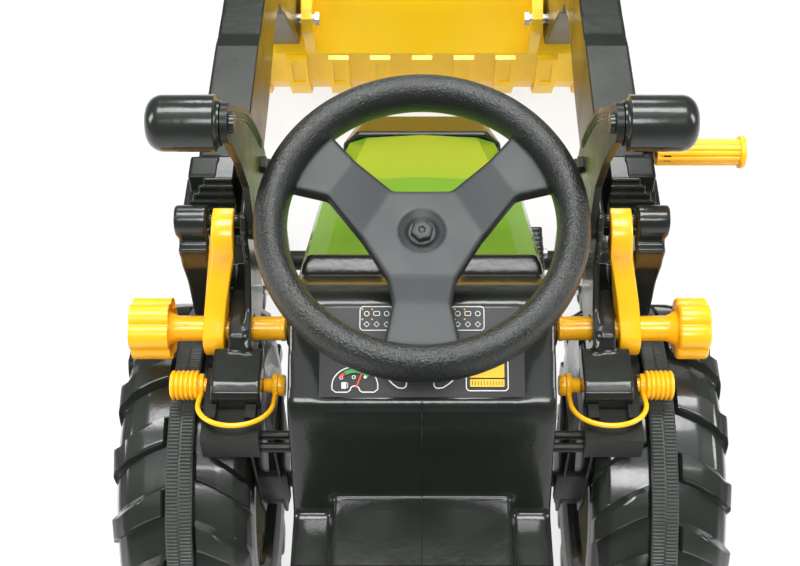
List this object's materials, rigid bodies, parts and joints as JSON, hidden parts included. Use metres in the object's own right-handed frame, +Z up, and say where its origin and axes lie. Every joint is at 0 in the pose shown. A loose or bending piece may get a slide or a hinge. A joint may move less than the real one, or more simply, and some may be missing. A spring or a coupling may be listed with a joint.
{
  "type": "toy front loader",
  "caption": "Ride-on pedal tractor for a child with a hand-worked front loader: lifting arms, tipping bucket, linked steering, pedal drive and lever locks.",
  "frame": {"origin": "on the ground under the middle of the outline, between the seat end and the bucket lip", "axes": "+Y forward towards the bucket, +X to the driver's right, +Z up"},
  "size_m": [0.53, 1.32, 0.6455],
  "materials": {
    "gloss_black": "glossy blow-moulded plastic",
    "black_steel": "black powder coat",
    "grain_black": "fine grained moulded plastic",
    "rubber": "ribbed rubber band",
    "yellow": "glossy yellow plastic",
    "lime": "glossy green plastic",
    "zinc": "bright zinc",
    "lamp": "clear lamp plastic"
  },
  "bodies": {
    "tractor": {"chassis_frame": "black_steel", "cockpit_body": "gloss_black", "dash_panel": "grain_black", "nose_cowl": "gloss_black", "radiator_grille": "black_steel", "headlights": "lamp", "front_axle_beam": "black_steel", "foot_bracket_left": "black_steel", "foot_bracket_right": "black_steel", "mount_cross_bars": "black_steel", "tower_left": "gloss_black", "tower_right": "gloss_black", "pivot_nuts": "zinc", "chain_guard": "gloss_black", "drive_chain": "black_steel", "hitch_jaw": "black_steel", "pin_straps": "yellow"},
    "seat": {"seat": "gloss_black"},
    "hood": {"hood": "lime"},
    "steering": {"steering_wheel": "grain_black", "hub_nut": "gloss_black", "steering_shaft": "zinc"},
    "lower_shaft": {"lower_shaft": "zinc"},
    "knuckle_left": {"knuckle_left": "zinc"},
    "knuckle_right": {"knuckle_right": "zinc"},
    "tie_rod": {"tie_rod": "zinc"},
    "front_wheel_left": {"front_wheel_left": "gloss_black", "front_rim_left": "yellow"},
    "front_wheel_right": {"front_wheel_right": "gloss_black", "front_rim_right": "yellow"},
    "rear_axle": {"rear_axle": "zinc", "rear_wheel_left": "gloss_black", "rear_wheel_right": "gloss_black", "rear_bands": "rubber", "rear_rims": "yellow", "drive_sprocket": "zinc"},
    "crank": {"crank": "zinc"},
    "pedal_left": {"pedal_left": "gloss_black"},
    "pedal_right": {"pedal_right": "gloss_black"},
    "loader": {"loader_arm_left": "gloss_black", "loader_arm_right": "gloss_black", "arm_cross_tube": "black_steel", "handle_plate_left": "black_steel", "handle_plate_right": "black_steel", "arm_bolts": "zinc"},
    "roller_left": {"handle_roller_left": "gloss_black"},
    "roller_right": {"handle_roller_right": "gloss_black"},
    "bucket": {"bucket": "yellow", "bucket_pins": "zinc"},
    "tip_lever": {"tip_lever": "black_steel", "tip_grip": "yellow"},
    "tip_rod": {"tip_rod": "zinc"},
    "lock_lever_left": {"lock_lever_left": "yellow"},
    "lock_lever_right": {"lock_lever_right": "yellow"},
    "star_knob_left": {"star_knob_left": "yellow"},
    "star_knob_right": {"star_knob_right": "yellow"},
    "locking_pin_left": {"locking_pin_left": "yellow"},
    "locking_pin_right": {"locking_pin_right": "yellow"}
  },
  "joints": [
    {"name": "loader_lift", "type": "hinge", "parent": "tractor", "child": "loader", "pos_m": [0, -0.198, 0.469], "axis": [1, 0, 0], "range_deg": [-5, 40]},
    {"name": "bucket_tip", "type": "hinge", "parent": "loader", "child": "bucket", "pos_m": [0, 0.327, 0.25], "axis": [-1, 0, 0], "range_deg": [-10, 60]},
    {"name": "tip_lever_turn", "type": "hinge", "parent": "loader", "child": "tip_lever", "pos_m": [0.2, -0.1, 0.455], "axis": [-1, 0, 0], "range_deg": [-10, 60]},
    {"name": "tip_rod_turn", "type": "hinge", "parent": "tip_lever", "child": "tip_rod", "pos_m": [0.207, -0.1, 0.419], "axis": [-1, 0, 0], "range_deg": [-60, 10]},
    {"name": "handle_roller_left_turn", "type": "hinge", "parent": "loader", "child": "roller_left", "pos_m": [-0.17, -0.244, 0.625], "axis": [1, 0, 0], "continuous": true},
    {"name": "handle_roller_right_turn", "type": "hinge", "parent": "loader", "child": "roller_right", "pos_m": [0.17, -0.244, 0.625], "axis": [1, 0, 0], "continuous": true},
    {"name": "steering_turn", "type": "hinge", "parent": "tractor", "child": "steering", "pos_m": [0, -0.227, 0.4995], "axis": [0, -0.2487, 0.9686], "range_deg": [-28, 28]},
    {"name": "lower_shaft_turn", "type": "hinge", "parent": "tractor", "child": "lower_shaft", "pos_m": [0, -0.18353, 0.33019], "axis": [0, -0.778, 0.6283], "range_deg": [-28, 28]},
    {"name": "knuckle_left_turn", "type": "hinge", "parent": "tractor", "child": "knuckle_left", "pos_m": [-0.182, 0.1, 0.1], "axis": [0, 0, 1], "range_deg": [-25, 25]},
    {"name": "knuckle_right_turn", "type": "hinge", "parent": "tractor", "child": "knuckle_right", "pos_m": [0.182, 0.1, 0.1], "axis": [0, 0, 1], "range_deg": [-25, 25]},
    {"name": "tie_rod_turn", "type": "hinge", "parent": "knuckle_left", "child": "tie_rod", "pos_m": [-0.182, 0.04, 0.084], "axis": [0, 0, 1], "range_deg": [-25, 25]},
    {"name": "front_wheel_left_spin", "type": "hinge", "parent": "knuckle_left", "child": "front_wheel_left", "pos_m": [-0.223, 0.1, 0.1], "axis": [1, 0, 0], "continuous": true},
    {"name": "front_wheel_right_spin", "type": "hinge", "parent": "knuckle_right", "child": "front_wheel_right", "pos_m": [0.223, 0.1, 0.1], "axis": [1, 0, 0], "continuous": true},
    {"name": "rear_axle_spin", "type": "hinge", "parent": "tractor", "child": "rear_axle", "pos_m": [0, -0.27, 0.172], "axis": [1, 0, 0], "continuous": true},
    {"name": "crank_spin", "type": "hinge", "parent": "tractor", "child": "crank", "pos_m": [0, -0.044, 0.165], "axis": [1, 0, 0], "continuous": true},
    {"name": "pedal_left_spin", "type": "hinge", "parent": "crank", "child": "pedal_left", "pos_m": [-0.104, -0.044, 0.085], "axis": [1, 0, 0], "continuous": true},
    {"name": "pedal_right_spin", "type": "hinge", "parent": "crank", "child": "pedal_right", "pos_m": [0.104, -0.044, 0.245], "axis": [1, 0, 0], "continuous": true},
    {"name": "hood_lift", "type": "hinge", "parent": "tractor", "child": "hood", "pos_m": [0, -0.176, 0.396], "axis": [1, 0, 0], "range_deg": [0, 40]},
    {"name": "seat_slide", "type": "slide", "parent": "tractor", "child": "seat", "axis": [0, 1, 0], "range_m": [0, 0.04]},
    {"name": "lock_lever_left_swing", "type": "hinge", "parent": "tractor", "child": "lock_lever_left", "pos_m": [-0.176, -0.248, 0.386], "axis": [1, 0, 0], "range_deg": [0, 70]},
    {"name": "lock_lever_right_swing", "type": "hinge", "parent": "tractor", "child": "lock_lever_right", "pos_m": [0.176, -0.248, 0.386], "axis": [1, 0, 0], "range_deg": [0, 70]},
    {"name": "star_knob_left_turn", "type": "hinge", "parent": "tractor", "child": "star_knob_left", "pos_m": [-0.2, -0.248, 0.386], "axis": [1, 0, 0], "continuous": true},
    {"name": "star_knob_right_turn", "type": "hinge", "parent": "tractor", "child": "star_knob_right", "pos_m": [0.2, -0.248, 0.386], "axis": [1, 0, 0], "continuous": true},
    {"name": "locking_pin_left_pull", "type": "slide", "parent": "tractor", "child": "locking_pin_left", "axis": [-1, 0, 0], "range_m": [0, 0.048]},
    {"name": "locking_pin_right_pull", "type": "slide", "parent": "tractor", "child": "locking_pin_right", "axis": [1, 0, 0], "range_m": [0, 0.048]}
  ],
  "couplings": [
    {"joint": "tip_lever_turn", "follows": "bucket_tip", "ratio": 1},
    {"joint": "tip_rod_turn", "follows": "bucket_tip", "ratio": -1},
    {"joint": "lower_shaft_turn", "follows": "steering_turn", "ratio": 1},
    {"joint": "knuckle_left_turn", "follows": "steering_turn", "ratio": 0.845},
    {"joint": "knuckle_right_turn", "follows": "steering_turn", "ratio": 0.845},
    {"joint": "tie_rod_turn", "follows": "steering_turn", "ratio": -0.845},
    {"joint": "crank_spin", "follows": "rear_axle_spin", "ratio": 0.65217}
  ]
}
